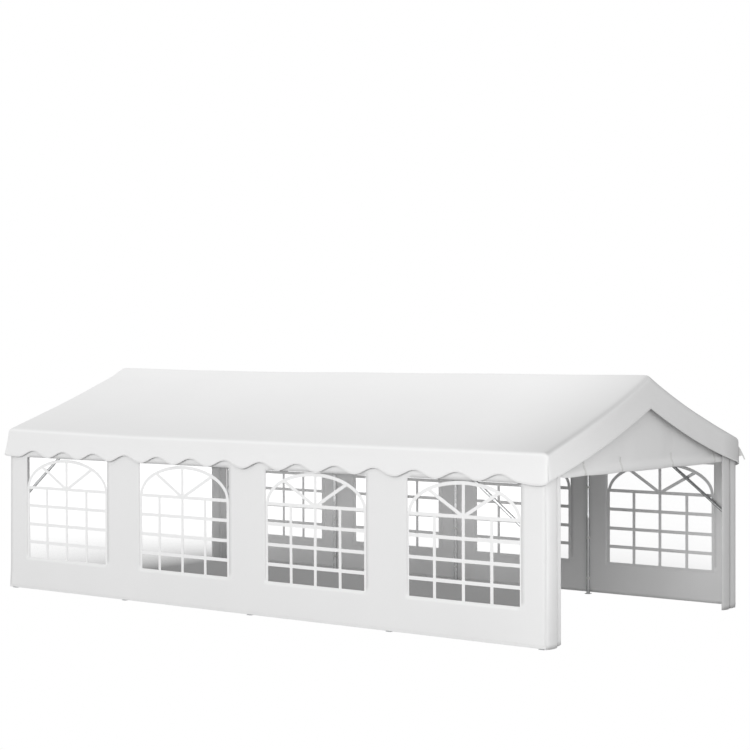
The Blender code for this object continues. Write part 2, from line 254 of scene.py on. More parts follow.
# painted shade on the roof cloth: darker towards the eaves, the front gable and its fold, and the far corner
roofPaintedShade = {"eaves": (2.62, 1.98, 0.108), "gable": (2.60, 3.98), "gablePower": 1.8, "gableSlope": 0.16,
            "gableFold": 0.17, "upward": (0.35, 0.85), "farCorner": (1.58, 1.92, 0.23), "farFold": 0.50}
clothLooks = {
    "roofCloth": {"tone": 0.896, "roughness": 0.60, "gloss": 0.25, "broad": 1.1, "fine": 6.0,
                  "threads": 260.0, "unevenness": 0.03, "creasing": 0.18, "paintedShade": roofPaintedShade},
    # the roof cloth's inside face, a darker copy of it: painted shade for the dim inside of the tent
    "shadedInnerCloth": {"tone": 0.62, "roughness": 0.65, "gloss": 0.25, "broad": 1.4, "fine": 7.0,
                   "threads": 260.0, "unevenness": 0.05, "creasing": 0.25},
    "wallCloth": {"tone": 0.87, "roughness": 0.55, "gloss": 0.35, "broad": 1.3, "fine": 6.0,
                  "threads": 260.0, "unevenness": 0.03, "creasing": 0.16},
    # painted shade greys the door cloth towards the far corners
    "flapCloth": {"tone": 0.865, "roughness": 0.6, "gloss": 0.3, "broad": 2.2, "fine": 9.0,
                  "threads": 300.0, "unevenness": 0.04, "creasing": 0.22, "farPaintedShade": (1.50, 1.62, 0.16)},
    "hemTape": {"tone": 0.86, "roughness": 0.5, "gloss": 0.4, "broad": 3.0, "fine": 20.0,
                "threads": 300.0, "unevenness": 0.05, "creasing": 0.12},
    # painted shade greys the bars of the far wall
    "windowBar": {"tone": 0.985, "roughness": 0.38, "gloss": 0.5, "broad": 2.0, "fine": 14.0,
                  "threads": 300.0, "unevenness": 0.02, "creasing": 0.08, "farPaintedShade": (-1.0, 1.0, 0.10),
                  "sheer": 0.07},
}


def makeSteelMaterial(name, look):
    # hot galvanising: pale zinc flowers a few millimetres across, duller where handled
    material, tree, shader, place = startMaterial(name)
    flowers = addNode(tree, "ShaderNodeTexVoronoi", Vector=place["Object"], Scale=look["flowers"]).outputs
    cloud = addNode(tree, "ShaderNodeTexNoise", Vector=place["Object"], Scale=look["clouds"], Detail=4.0,
                    Roughness=0.55).outputs["Fac"]
    zinc = mathNode(tree, "MULTIPLY", flowers["Color"], 1.0, clamp=True)
    tone = mixColour(tree, zinc, (*look["dark"], 1.0), (*look["light"], 1.0))
    # painted shade: the colour darkens where the surface turns away from the view, for a dark outline along
    # each tube
    edge = addNode(tree, "ShaderNodeLayerWeight", Blend=0.5)
    turned = spreadNode(tree, edge.outputs["Facing"], *look["edge"], 1.0)
    rough = look["roughness"]
    setInputs(tree, shader,
              Base_Color=mixColour(tree, turned, tone, (*look["grazingShadeColour"], 1.0)),
              Metallic=look["metal"],
              Roughness=spreadNode(tree, cloud, 0.0, 1.0, rough + 0.10, rough - 0.06),
              Normal=bumpNode(tree, flowers["Distance"], 0.10, 0.0004))
    return material


steelLooks = {
    "tubeSteel": {"dark": (0.86, 0.87, 0.88), "light": (0.94, 0.95, 0.96), "roughness": 0.22, "metal": 0.9,
                  "flowers": 110.0, "clouds": 6.0, "edge": (0.24, 0.56), "grazingShadeColour": (0.17, 0.175, 0.18)},
    # the braces' steel is the tube steel made darker: painted shade
    "shadedBraceSteel": {"dark": (0.62, 0.63, 0.64), "light": (0.72, 0.73, 0.74), "roughness": 0.22, "metal": 0.9,
                   "flowers": 110.0, "clouds": 6.0, "edge": (0.18, 0.52), "grazingShadeColour": (0.13, 0.135, 0.14)},
    "fittingSteel": {"dark": (0.48, 0.49, 0.50), "light": (0.66, 0.67, 0.68), "roughness": 0.36,
                     "metal": 1.0, "flowers": 160.0, "clouds": 18.0, "edge": (0.45, 0.9),
                     "grazingShadeColour": (0.22, 0.225, 0.23)},
    "plateSteel": {"dark": (0.36, 0.37, 0.38), "light": (0.48, 0.49, 0.50), "roughness": 0.50, "metal": 0.35,
                   "flowers": 140.0, "clouds": 12.0, "edge": (0.88, 1.0), "grazingShadeColour": (0.34, 0.345, 0.35)},
}


def makeFilmMaterial(name, look):
    # clear soft film with faint streaks from rolling, and a glossy sheen over it whose strength is painted:
    # it grows with height and shows only where the outer side is seen
    material, tree, shader, place = startMaterial(name)
    stretch = addNode(tree, "ShaderNodeMapping", Vector=place["Object"], Scale=look["streaks"])
    streak = addNode(tree, "ShaderNodeTexNoise", Vector=stretch.outputs["Vector"], Scale=1.0, Detail=5.0,
                     Roughness=0.6, Distortion=0.8).outputs["Fac"]
    split = splitVector(tree, place["Object"])
    outward = mathNode(tree, "MULTIPLY", split["Y"], splitVector(tree, place["Normal"])["Y"])
    outside = mathNode(tree, "GREATER_THAN", outward, 0.0)
    # painted sheen: stronger higher up, and only where the outer side faces the view
    paintedSheen = mathNode(tree, "ADD", spreadNode(tree, split["Z"], *look["sheen"]), look["sheenLow"])
    sheen = addNode(tree, "ShaderNodeBsdfAnisotropic", Roughness=look["sheenRoughness"],
                    Color=mathNode(tree, "MULTIPLY", paintedSheen, outside))
    both = tree.nodes.new("ShaderNodeAddShader")
    for surface, socket in zip((shader, sheen), both.inputs):
        tree.links.new(surface.outputs[0], socket)
    setInputs(tree, tree.nodes["Material Output"], Surface=both.outputs[0])
    least, most = look["haze"]
    setInputs(tree, shader,
              Base_Color=(*look["colour"], 1.0),
              Alpha=spreadNode(tree, streak, 0.35, 0.75, most, least),
              Roughness=spreadNode(tree, streak, 0.0, 1.0, look["roughness"] + 0.08, look["roughness"]),
              Normal=bumpNode(tree, streak, 0.3, 0.002))
    return material


filmLooks = {
    "clearFilm": {"colour": (0.93, 0.94, 0.95), "roughness": 0.06, "haze": (0.004, 0.018),
                  "streaks": (1.6, 1.0, 5.0), "sheen": (0.60, 1.25, 0.085), "sheenLow": 0.018,
                  "sheenRoughness": 0.20},
}


def makeWebbingMaterial(name, look):
    # ribbed polyester tape and thread
    material, tree, shader, place = startMaterial(name)
    rib = addNode(tree, "ShaderNodeTexWave", Vector=place["Object"], Scale=look["ribs"], Distortion=0.4,
                  Detail=1.0).outputs["Fac"]
    setInputs(tree, shader,
              Base_Color=mixColour(tree, rib, (*look["dark"], 1.0), (*look["light"], 1.0)),
              Roughness=look["roughness"],
              Normal=bumpNode(tree, rib, 0.4, 0.0003))
    return material


webbingLooks = {
    "strapWebbing": {"dark": (0.68, 0.68, 0.67), "light": (0.78, 0.78, 0.77), "roughness": 0.8,
                     "ribs": 180.0},
    "hemThread": {"dark": (0.66, 0.66, 0.65), "light": (0.80, 0.80, 0.79), "roughness": 0.7, "ribs": 420.0},
}
materials = {}
for maker, looks in ((makeClothMaterial, clothLooks), (makeSteelMaterial, steelLooks),
                     (makeFilmMaterial, filmLooks), (makeWebbingMaterial, webbingLooks)):
    for lookName, look in looks.items():
        materials[lookName] = maker(lookName, look)
print("materials made:", len(materials))


# Mesh tools
def gridFaces(lines, width, ahead, keep=None):
    # the quads of a grid of points, wound one way or the other
    faces = []
    for i in range(lines - 1):
        for j in range(width - 1):
            a, b = i * width + j, (i + 1) * width + j
            if keep is None or keep(i, j):
                faces.append((a, b, b + 1, a + 1) if ahead else (a, a + 1, b + 1, b))
    return faces


def settle(piece, slotName, *stoodFor):
    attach(piece, "root")
    if stoodFor:
        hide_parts(*stoodFor)
    return piece


def makeSheet(name, points, faces, uvs, cloths, thickness, offset, slotName, *stoodFor, even=True):
    # a thickened sheet, and the area of its cloth laid flat
    mesh = bpy.data.meshes.new(name)
    mesh.from_pydata([tuple(p) for p in points], [], faces)
    if uvs is not None:
        layer = mesh.uv_layers.new(name="cloth")
        for loop in mesh.loops:
            layer.data[loop.index].uv = uvs[loop.vertex_index]
    for cloth in cloths:
        mesh.materials.append(materials[cloth])
    mesh.shade_smooth()
    area = sum(face.area for face in mesh.polygons)
    piece = addObject(name, mesh)
    shell = piece.modifiers.new("clothThickness", "SOLIDIFY")
    shell.thickness = thickness
    shell.offset = offset
    shell.use_even_offset = even
    shell.material_offset = len(cloths) - 1
    return settle(piece, slotName, *stoodFor), area


def joinPieces(first, *others):
    for chosen in bpy.context.selected_objects:
        chosen.select_set(False)
    for piece in (first, *others):
        piece.select_set(True)
    bpy.context.view_layer.objects.active = first
    bpy.ops.object.join()
    return first


def shapedMesh(holder):
    # the mesh of an object as its modifiers or its curve shape it
    bpy.context.view_layer.update()
    return bpy.data.meshes.new_from_object(holder.evaluated_get(bpy.context.evaluated_depsgraph_get()))


def ripple(x, y, z, size, seed=0.0):
    return noise.noise(Vector((x / size + seed, y / size - seed, z / size + 2 * seed)))


def clamp(value, low, high):
    return max(low, min(high, value))


def shareOf(value, start, stop):
    # how far the value has come from start to stop, from 0 to 1
    return clamp((value - start) / (stop - start), 0.0, 1.0)


def rippled(folds, x, y, z):
    # each fold is its height, its size and its seed
    return sum(height * ripple(x, y, z, size, seed) for height, size, seed in folds)


def evenRun(low, high, cell):
    count = max(1, int(math.ceil((high - low) / cell - 1e-6)))
    return [low + (high - low) * k / count for k in range(count + 1)]


def cutRun(marks, cell):
    # an even run between each pair of marks, so that the cell edges lie on the marks
    run = [marks[0]]
    for low, high in zip(marks, marks[1:]):
        run += evenRun(low, high, cell)[1:]
    return run


# Geometry Nodes tools: a tree with named sizes grows on a guide mesh and becomes a plain mesh
def startTree(name, sizes):
    tree = bpy.data.node_groups.new(name, "GeometryNodeTree")
    tree.interface.new_socket(name="Guide", in_out="INPUT", socket_type="NodeSocketGeometry")
    for label, value in sizes.items():
        kind = "NodeSocketInt" if isinstance(value, int) else "NodeSocketFloat"
        tree.interface.new_socket(name=label, in_out="INPUT", socket_type=kind).default_value = value
    tree.interface.new_socket(name="Material", in_out="INPUT", socket_type="NodeSocketMaterial")
    tree.interface.new_socket(name="Result", in_out="OUTPUT", socket_type="NodeSocketGeometry")
    return tree, tree.nodes.new("NodeGroupInput").outputs


def readAttribute(tree, name, kind):
    node = addNode(tree, "GeometryNodeInputNamedAttribute", data_type=kind, Name=name)
    return node.outputs["Attribute"]


def endTree(tree, given, result):
    realize = addNode(tree, "GeometryNodeRealizeInstances", Geometry=result)
    finish = addNode(tree, "GeometryNodeSetMaterial", Geometry=realize.outputs[0], Material=given["Material"])
    addNode(tree, "NodeGroupOutput", Result=finish.outputs[0])
    return tree


def guideCurve(tree, given):
    return addNode(tree, "GeometryNodeMeshToCurve", Mesh=given["Guide"]).outputs["Curve"]


def facedCurve(tree, given):
    # the guide's edge chains as curves whose normals point the way that the tape faces
    outward = readAttribute(tree, "outward", "FLOAT_VECTOR")
    faced = addNode(tree, "GeometryNodeSetCurveNormal", mode="FREE", Curve=guideCurve(tree, given),
                    Normal=outward)
    return faced.outputs["Curve"]


def makeTubeTree():
    tree, given = startTree("tubeRun", {"Sides": 28})
    ring = addNode(tree, "GeometryNodeCurvePrimitiveCircle", Radius=1.0, Resolution=given["Sides"])
    sweep = addNode(tree, "GeometryNodeCurveToMesh", Fill_Caps=True, Curve=guideCurve(tree, given),
                    Profile_Curve=ring.outputs["Curve"], Scale=readAttribute(tree, "girth", "FLOAT"))
    return endTree(tree, given, sweep.outputs["Mesh"])


def makeTapeTree():
    tree, given = startTree("tapeRun", {"Width": 0.02, "Thickness": 0.001})
    outline = addNode(tree, "GeometryNodeCurvePrimitiveQuadrilateral", Width=given["Thickness"],
                      Height=given["Width"])
    sweep = addNode(tree, "GeometryNodeCurveToMesh", Fill_Caps=True, Curve=facedCurve(tree, given),
                    Profile_Curve=outline.outputs["Curve"])
    return endTree(tree, given, sweep.outputs["Mesh"])


def makeStitchTree():
    tree, given = startTree("stitchRun", {"Spacing": 0.008, "Stitch": 0.005, "Thread": 0.0006})
    spots = addNode(tree, "GeometryNodeCurveToPoints", mode="LENGTH", Curve=facedCurve(tree, given),
                    Length=given["Spacing"]).outputs
    thread = addNode(tree, "GeometryNodeMeshCylinder", Vertices=5, Radius=given["Thread"],
                     Depth=given["Stitch"])
    place = addNode(tree, "GeometryNodeInstanceOnPoints", Points=spots["Points"],
                    Rotation=spots["Rotation"], Instance=thread.outputs["Mesh"])
    return endTree(tree, given, place.outputs["Instances"])


def makeBoltTree():
    # a washer under a hexagonal head, standing on each guide point
    tree, given = startTree("boltRow", {"Head": 0.007, "Height": 0.005, "Washer": 0.010, "Corners": 6})
    turn = addNode(tree, "FunctionNodeAlignRotationToVector", axis="Z",
                   Vector=readAttribute(tree, "outward", "FLOAT_VECTOR"))
    head = addNode(tree, "GeometryNodeMeshCylinder", Vertices=given["Corners"], Radius=given["Head"],
                   Depth=given["Height"])
    washer = addNode(tree, "GeometryNodeMeshCylinder", Vertices=20, Radius=given["Washer"], Depth=0.0024)
    away = addNode(tree, "ShaderNodeCombineXYZ", Z=mathNode(tree, "MULTIPLY", given["Height"], 0.5))
    lift = addNode(tree, "GeometryNodeTransform", Geometry=head.outputs["Mesh"], Translation=away.outputs[0])
    both = addNode(tree, "GeometryNodeJoinGeometry", Geometry=lift.outputs["Geometry"])
    setInputs(tree, both, Geometry=washer.outputs["Mesh"])
    place = addNode(tree, "GeometryNodeInstanceOnPoints", Points=given["Guide"],
                    Rotation=turn.outputs["Rotation"], Instance=both.outputs["Geometry"])
    return endTree(tree, given, place.outputs["Instances"])


tubeTree = makeTubeTree()
tapeTree = makeTapeTree()
stitchTree = makeStitchTree()
boltTree = makeBoltTree()


def guideMesh(paths, closed, chained):
    # paths are lists of (place, the way it faces, radius)
    points, facings, girths, edges = [], [], [], []
    for path in paths:
        first = len(points)
        for place, facing, girth in path:
            points.append(tuple(place))
            facings.extend(facing)
            girths.append(girth)
        if chained:
            edges += [(k, k + 1) for k in range(first, len(points) - 1)]
        if closed:
            edges.append((len(points) - 1, first))
    mesh = bpy.data.meshes.new("guide")
    mesh.from_pydata(points, edges, [])
    mesh.attributes.new("outward", "FLOAT_VECTOR", "POINT").data.foreach_set("vector", facings)
    mesh.attributes.new("girth", "FLOAT", "POINT").data.foreach_set("value", girths)
    return mesh


def growPiece(name, tree, paths, material, closed=False, chained=True, **sizes):
    guide = guideMesh(paths, closed, chained)
    host = addObject(name, guide)
    growth = host.modifiers.new("growth", "NODES")
    growth.node_group = tree
    for item in tree.interface.items_tree:
        if item.in_out == "INPUT" and item.name in sizes:
            growth[item.identifier] = sizes[item.name]
        elif item.in_out == "INPUT" and item.name == "Material":
            growth[item.identifier] = materials[material]
    grown = shapedMesh(host)
    host.modifiers.clear()
    host.data = grown
    grown.name = name
    for layer in [a.name for a in grown.attributes if a.name in ("outward", "girth")]:
        grown.attributes.remove(grown.attributes[layer])
    bpy.data.meshes.remove(guide)
    grown.shade_smooth()
    grown.set_sharp_from_angle(angle=math.radians(35.0))
    return host


def plain(points, girth, facing=(0.0, 0.0, 1.0)):
    return [(p, facing, girth) for p in points]


def beaded(places, beads, girth):
    # a run with a radius of its own at each share of the way
    start, stop = (Vector(place) for place in places)
    return [(start.lerp(stop, share), (0, 0, 1), girth * swell) for share, swell in beads]


# The steel frame's lines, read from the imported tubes
tubeRadius = 0.019
ridgeLow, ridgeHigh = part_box("ridge_purlin")
eaveLow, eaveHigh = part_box("eave_purlin_right")
ridgeAxis = (ridgeLow.z + ridgeHigh.z) / 2
eaveAxis = (eaveLow.z + eaveHigh.z) / 2
legAxis = (eaveLow.y + eaveHigh.y) / 2
roofDip = 0.05
sides = {"left": -1, "right": 1}
ends = {"front": 1, "rear": -1}
frameStations = []
for number in range(1, 6):
    postLow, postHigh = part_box(f"leg_left_{number}")
    frameStations.append((postLow.x + postHigh.x) / 2)
endFrame = ridgeHigh.x - tubeRadius
frameStations[0], frameStations[-1] = endFrame, -endFrame
# two of the inner frames stand a little towards the front
frameStations[1] += 0.018
frameStations[2] += 0.020


def tubeLine(y):
    t = abs(y) / legAxis
    return eaveAxis + (ridgeAxis - eaveAxis) * (1 - t) - 4 * roofDip * t * (1 - t)


def tubeSlope(y):
    step = 0.001
    return math.atan2(tubeLine(y + step) - tubeLine(y - step), 2 * step)


# Posts: two tubes swaged together, a foot plate with anchors, and the eave fitting
post = {
    "jointLow": 0.905, "jointHigh": 1.005, "jointRadius": 0.0204, "jointSlope": 0.006,
    "footSide": 0.068, "footThick": 0.004, "footCorner": 0.008, "footHole": 0.0050, "holeInset": 0.012,
    "socketTop": 0.075, "socketRadius": 0.0213, "legSleeveLow": 1.815, "sleeveRadius": 0.0218,
    "fittingRadius": 0.0225, "fittingHalf": 0.05, "boltAway": 0.032, "boltSink": 0.0004, "sides": 28,
}
sleeveLip = ((0.0, 1.0), (0.86, 1.0), (0.93, 1.035), (1.0, 1.035))
fittingLips = ((-1, 1.01), (-0.86, 1.01), (-0.8, 1.0), (0.8, 1.0), (0.86, 1.01), (1, 1.01))
boltSizes = {"Head": 0.0055, "Height": 0.0050, "Washer": 0.0080}


def purlinFitting(x, y, z):
    # the sleeve round a purlin, kept inside the end frames, and its middle
    limit = endFrame + tubeRadius - post["fittingHalf"]
    middle = clamp(x, -limit, limit)
    return middle, [((middle + share * post["fittingHalf"], y, z), (0, 0, 1), post["fittingRadius"] * swell)
                    for share, swell in fittingLips]


def addBolts(piece, heads, *others):
    bolts = growPiece("bolts", boltTree, [heads], "fittingSteel", chained=False, **boltSizes)
    return joinPieces(piece, *others, bolts)


def footPlate(name, x, y):
    p = post
    half = p["footSide"] / 2
    outline = bpy.data.curves.new(name, "CURVE")
    outline.dimensions = "2D"
    outline.fill_mode = "BOTH"
    outline.extrude = p["footThick"] / 2
    corners = []
    for quadrant in range(4):
        cx = (half - p["footCorner"]) * (1 if quadrant in (0, 3) else -1)
        cy = (half - p["footCorner"]) * (1 if quadrant in (0, 1) else -1)
        for k in range(5):
            a = math.pi / 2 * (quadrant + k / 4)
            corners.append((cx + p["footCorner"] * math.cos(a), cy + p["footCorner"] * math.sin(a)))
    loops = [corners]
    for sx in (-1, 1):
        for sy in (-1, 1):
            centre = (sx * (half - p["holeInset"]), sy * (half - p["holeInset"]))
            loops.append([(centre[0] + p["footHole"] * math.cos(math.tau * k / 12),
                           centre[1] + p["footHole"] * math.sin(math.tau * k / 12)) for k in range(12)])
    for loop in loops:
        spline = outline.splines.new("POLY")
        spline.points.add(len(loop) - 1)
        for point, (a, b) in zip(spline.points, loop):
            point.co = (x + a, y + b, p["footThick"] / 2, 1.0)
        spline.use_cyclic_u = True
    carrier = addObject(name, outline)
    mesh = shapedMesh(carrier)
    bpy.data.objects.remove(carrier)
    shape = bmesh.new()
    shape.from_mesh(mesh)
    bmesh.ops.remove_doubles(shape, verts=shape.verts, dist=0.00005)
    shape.to_mesh(mesh)
    shape.free()
    mesh.materials.clear()
    mesh.materials.append(materials["plateSteel"])
    return addObject(name, mesh)


def makePost(side, sideName, number, x):
    p = post
    y = side * legAxis
    top = eaveAxis
    tubePath = [
        (p["footThick"], tubeRadius), (p["jointLow"], tubeRadius),
        (p["jointLow"] + p["jointSlope"], p["jointRadius"]),
        (p["jointHigh"] - p["jointSlope"], p["jointRadius"]), (p["jointHigh"], tubeRadius), (top, tubeRadius),
    ]
    middle, fitting = purlinFitting(x, y, top)
    paths = [
        [((x, y, z), (0, 1, 0), r) for z, r in tubePath],
        beaded([(x, y, p["footThick"]), (x, y, p["socketTop"])], sleeveLip, p["socketRadius"]),
        beaded([(x, y, top), (x, y, p["legSleeveLow"])], sleeveLip, p["sleeveRadius"]),
        fitting,
    ]
    piece = growPiece(f"post_{sideName}_{number}", tubeTree, paths, "tubeSteel", Sides=p["sides"])
    inset = p["footSide"] / 2 - p["holeInset"]
    heads = [((x + sx * inset, y - side * inset, p["footThick"] + 0.0012), (0, 0, 1), 1.0) for sx in (-1, 1)]
    inward = (0, -side, 0)
    for z in (p["legSleeveLow"] + 0.03, 0.045):
        heads.append(((x, y - side * (p["sleeveRadius"] - p["boltSink"]), z), inward, 1.0))
    heads.append(((middle + p["boltAway"], y - side * 0.0222, top), inward, 1.0))
    piece = addBolts(piece, heads, footPlate("plate", x, y))
    settle(piece, "galvanised_tube", f"leg_{sideName}_{number}")


rafter = {"stops": 26, "sleeves": ((0.02, 0.13), (1.905, 1.80)), "boltsAt": (0.10, 1.825, 0.98)}


def makeRafters(number, x):
    p = post
    run = [-legAxis + 2 * legAxis * k / rafter["stops"] for k in range(rafter["stops"] + 1)]
    paths = [plain([(x, y, tubeLine(y)) for y in run], tubeRadius), purlinFitting(x, 0.0, ridgeAxis)[1]]
    heads = []
    for side in (-1, 1):
        for a, b in rafter["sleeves"]:
            reach = [(x, side * y, tubeLine(y)) for y in (a, b)]
            paths.append(beaded(reach, sleeveLip, p["sleeveRadius"]))
        for y in rafter["boltsAt"]:
            turn = tubeSlope(y)
            down = Vector((0.0, side * math.sin(turn), -math.cos(turn)))
            place = Vector((x, side * y, tubeLine(y))) + down * (p["sleeveRadius"] - p["boltSink"])
            heads.append((place, down, 1.0))
    piece = growPiece(f"rafter_pair_{number}", tubeTree, paths, "tubeSteel", Sides=p["sides"])
    settle(addBolts(piece, heads), "galvanised_tube", f"rafters_{number}")


purlin = {
    "jointAway": 0.5,        # from each inner frame, to both sides
    "joint": ((-0.045, tubeRadius), (-0.040, 0.0201), (0.040, 0.0201), (0.045, tubeRadius)),
}


def makePurlin(name, node, y, z):
    reach = endFrame + tubeRadius
    paths = [plain([(-reach, y, z), (reach, y, z)], tubeRadius)]
    for x in sorted(frameStations)[1:-1]:
        for middle in (x - purlin["jointAway"], x + purlin["jointAway"]):
            paths.append([((middle + d, y, z), (0, 0, 1), r) for d, r in purlin["joint"]])
    settle(growPiece(name, tubeTree, paths, "tubeSteel", Sides=post["sides"]), "galvanised_tube", node)


brace = {
    "radius": 0.0180, "legHeight": 1.015, "reach": {"front": 2.740, "rear": 2.790}, "collar": 0.0214,
    "collarHalf": 0.018, "ring": ((0.47, 1.0), (0.475, 1.07), (0.525, 1.07), (0.53, 1.0)), "sides": 24,
    "gap": 0.001, "boltAway": 0.03, "boltSink": 0.0003,
}


def makeBrace(sideName, side, endName, end):
    b = brace
    y = side * legAxis
    foot = Vector((end * endFrame, y, b["legHeight"]))
    head = Vector((end * b["reach"][endName], y, eaveAxis))
    along = (head - foot).normalized()
    start = foot + along * (tubeRadius + b["gap"]) / abs(along.x)
    stop = head - along * (tubeRadius + b["gap"]) / abs(along.z)
    paths = [plain([start, stop], b["radius"]), beaded([start, stop], b["ring"], b["radius"])]
    for place, way in ((foot, Vector((0, 0, 1))), (head, Vector((1, 0, 0)))):
        half = way * b["collarHalf"]
        paths.append(plain([place - half, place + half], b["collar"]))
    piece = growPiece(f"diagonal_{sideName}_{endName}", tubeTree, paths, "shadedBraceSteel", Sides=b["sides"])
    inward = Vector((0, -side, 0))
    sunk = inward * (b["radius"] - b["boltSink"])
    heads = [(start + along * b["boltAway"] + sunk, inward, 1.0),
             (stop - along * b["boltAway"] + sunk, inward, 1.0)]
    settle(addBolts(piece, heads), "galvanised_tube", f"brace_{sideName}_{endName}")


for number, stationX in enumerate(frameStations, 1):
    for sideName, side in sides.items():
        makePost(side, sideName, number, stationX)
    makeRafters(number, stationX)
makePurlin("ridge_tube", "ridge_purlin", 0.0, ridgeAxis)
for sideName, side in sides.items():
    makePurlin(f"eave_tube_{sideName}", f"eave_purlin_{sideName}", side * legAxis, eaveAxis)
    for endName, end in ends.items():
        makeBrace(sideName, side, endName, end)
print("steel frame made")


# Roof skin: one sheet from hem to hem, over the ridge, the eaves and the gable rafters
skin = {
    "lift": 0.0268,          # outer face above the tubes' axes
    "topFront": 3.945,
    "topRear": -3.985,
    "topHalfY": 1.921,
    "gableFold": 0.097,
    "gableDrop": 0.080,
    "squareness": (2.1, 3.0),
    "cornerPower": 0.55,     # squares the corners of the folds a little
    "eaveFold": 0.036,
    "eaveDrop": 0.034,
    "foldSteps": 8,
    "cornerSteps": 10,
    "skirtSteps": 12,
    "stepX": 0.05,
    "slopeSteps": 44,
    "sideFlare": 0.013,
    "frontFlare": 0.004,
    "rearFlare": 0.052,
    "cornerTuck": 0.022,     # where the two skirts are sewn together
    "rearRise": 0.033,       # the cover stands off the tubes towards the rear gable
    "riseFrom": 1.9,
    "rearCrease": 0.012,
    "creaseAt": (0.12, 0.09),
    "rearBelly": 0.018,
    "frontBelly": 0.014,
    "bellyFrom": 2.9,
    "creases": ((0.0022, 0.42, 3.0), (0.0010, 0.15, 9.0)),
    "thickness": 0.0014,
    "bayDip": 0.007,
    "ridgeDip": 0.0035,      # between the frames the ridge tube gives a little
    "flat": (8.88, 4.92),    # cut size, hem to hem
}
scallop = {"first": -3.590, "pitch": 0.543, "count": 14, "middle": 1.682, "rise": 0.040, "lastDip": 0.018,
           "lastLength": 0.33, "wave": 0.003, "waveEnd": 3.7}
flapHem = {"peak": 2.337, "corner": 1.670, "dip": 0.05}


def scallopHem(x):
    last = scallop["first"] + scallop["pitch"] * (scallop["count"] - 1)
    low, high = scallop["first"] - scallop["pitch"] / 2, last + scallop["pitch"] / 2
    turn = math.tau * (clamp(x, low, high) - scallop["first"]) / scallop["pitch"]
    past = max(0.0, x - high) / scallop["lastLength"]
    dip = scallop["lastDip"] * math.sin(min(past, 1.0) * math.pi)
    return scallop["middle"] + scallop["rise"] * math.cos(turn) - dip


def gableHem(y):
    t = min(abs(y) / legAxis, 1.02)
    straight = flapHem["corner"] + (flapHem["peak"] - flapHem["corner"]) * (1 - t)
    return straight - 4 * flapHem["dip"] * t * (1 - t)


def skinSection():
    # half of the roof's section, as (y, z) from the ridge to the start of the eave fold
    lift = skin["lift"]
    turn = tubeSlope(0.002)
    points = [(lift * math.sin(-turn * k / 3), ridgeAxis + lift * math.cos(turn * k / 3)) for k in range(4)]
    start = points[-1][0]
    for k in range(1, skin["slopeSteps"] + 1):
        y = start + (skin["topHalfY"] - start) * k / skin["slopeSteps"]
        points.append((y, tubeLine(y) + lift / math.cos(tubeSlope(y))))
    return points


def skinPoint(x, y, z):
    # between the frames the sheet hangs a little, and it has slight creases
    t = abs(y) / skin["topHalfY"]
    hang = (skin["bayDip"] * 4 * t * (1 - t) + skin["ridgeDip"] * (1 - t)) * math.sin(math.pi * x / 2) ** 2
    crease = rippled(skin["creases"], x, y, 0.0) * math.sin(math.pi * min(1.0, t)) ** 0.5
    middle, spread = skin["creaseAt"]
    rise = skin["rearRise"] - skin["rearCrease"] * math.exp(-((t - middle) / spread) ** 2)
    rise *= shareOf(-x, skin["riseFrom"], -skin["topRear"])
    shape = 6.75 * t * t * (1 - t)
    rise += skin["rearBelly"] * shape * shareOf(-x, skin["bellyFrom"], -skin["topRear"]) ** 2
    rise += skin["frontBelly"] * shape * shareOf(x, skin["bellyFrom"], skin["topFront"]) ** 2
    return Vector((x, y, z - hang + rise + crease))


def skirtPoint(base, facing, m):
    # m steps down from the top's rim: round the fold, then down the skirt to its hem
    outX, outY = (math.copysign(abs(c) ** skin["cornerPower"], c) if abs(c) > 0.001 else 0.0
                  for c in (math.cos(facing), math.sin(facing)))
    share = math.cos(facing) ** 2
    slope = math.tan(tubeSlope(skin["topHalfY"]))
    drop = skin["eaveDrop"] + (skin["gableDrop"] - skin["eaveDrop"]) * share
    phi = math.pi / 2 * min(1.0, m / skin["foldSteps"])
    power = 2.0 / (skin["squareness"][0] * (1 - share) + skin["squareness"][1] * share)
    reach = math.sin(phi) ** power
    x = base.x + skin["gableFold"] * outX * reach
    y = base.y + skin["eaveFold"] * outY * reach
    fall = drop * (1 - max(0.0, math.cos(phi)) ** power)
    z = base.z + slope * skin["eaveFold"] * abs(outY) * reach - fall
    if m > skin["foldSteps"]:
        v = (m - skin["foldSteps"]) / skin["skirtSteps"]
        hem = scallopHem(x) * (1 - share) + gableHem(y) * share
        turn = math.tau * (x - scallop["first"]) / scallop["pitch"]
        wave = math.cos(turn) if abs(x) < scallop["waveEnd"] else 0.0
        flare = skin["frontFlare"] if outX > 0 else skin["rearFlare"]
        out = skin["sideFlare"] * (1 - share) + flare * share
        out = out * v ** 1.2 - scallop["wave"] * wave * v * v * (1 - share)
        out -= skin["cornerTuck"] * math.exp(-((share - 0.93) / 0.05) ** 2) * min(1.0, 1.6 * v)
        out += 0.004 * v * ripple(x, y, z, 0.35, 5.0) + 0.0015 * v * ripple(x, y, 3 * v, 0.12, 1.0)
        z = z + (hem - z) * v
        x += outX * out
        y += outY * out
    return Vector((x, y, z))


